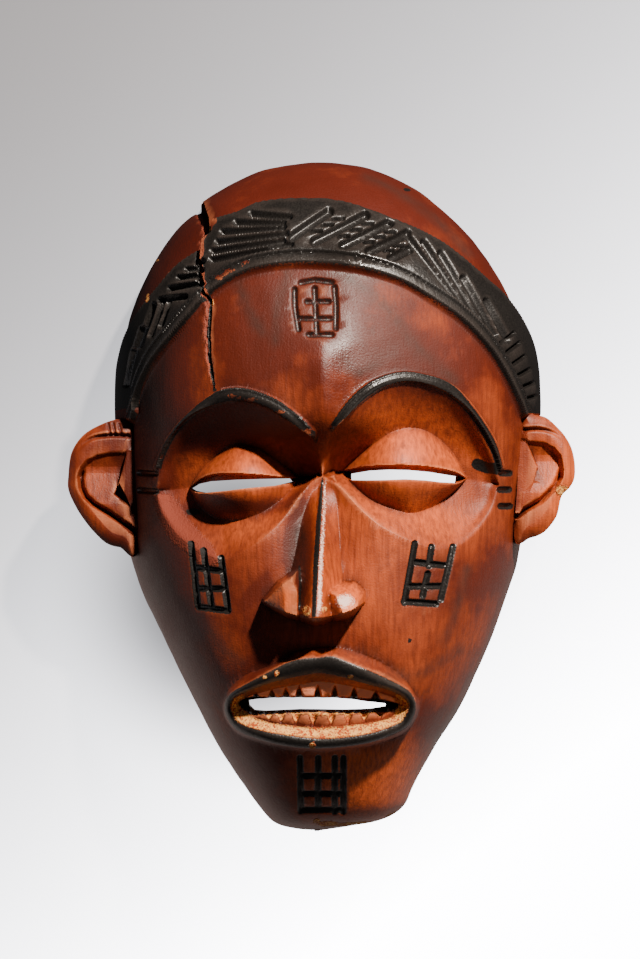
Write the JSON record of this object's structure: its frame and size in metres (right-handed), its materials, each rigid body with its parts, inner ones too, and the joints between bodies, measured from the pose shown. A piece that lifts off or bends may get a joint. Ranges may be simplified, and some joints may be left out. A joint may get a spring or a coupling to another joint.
{
  "type": "pwo mask",
  "caption": "Carved wooden face mask with a domed cap, hatched headband, half-closed slit eyes, narrow ridge nose, ears and an open mouth with pointed teeth; hollow behind, lying face up.",
  "frame": {"origin": "middle of the box around the mask, on the plane of the back rim that it lies on", "axes": "+Z out of the face, +Y towards the crown, +X to the viewer's right"},
  "size_m": [0.1986, 0.2626, 0.118],
  "materials": {
    "carved_wood": "red ochre pigment and oil over close-grained wood, blackened band, brows, lips and cuts, satin to glossy with wear"
  },
  "bodies": {
    "root": {"mask": "carved_wood"}
  },
  "joints": []
}
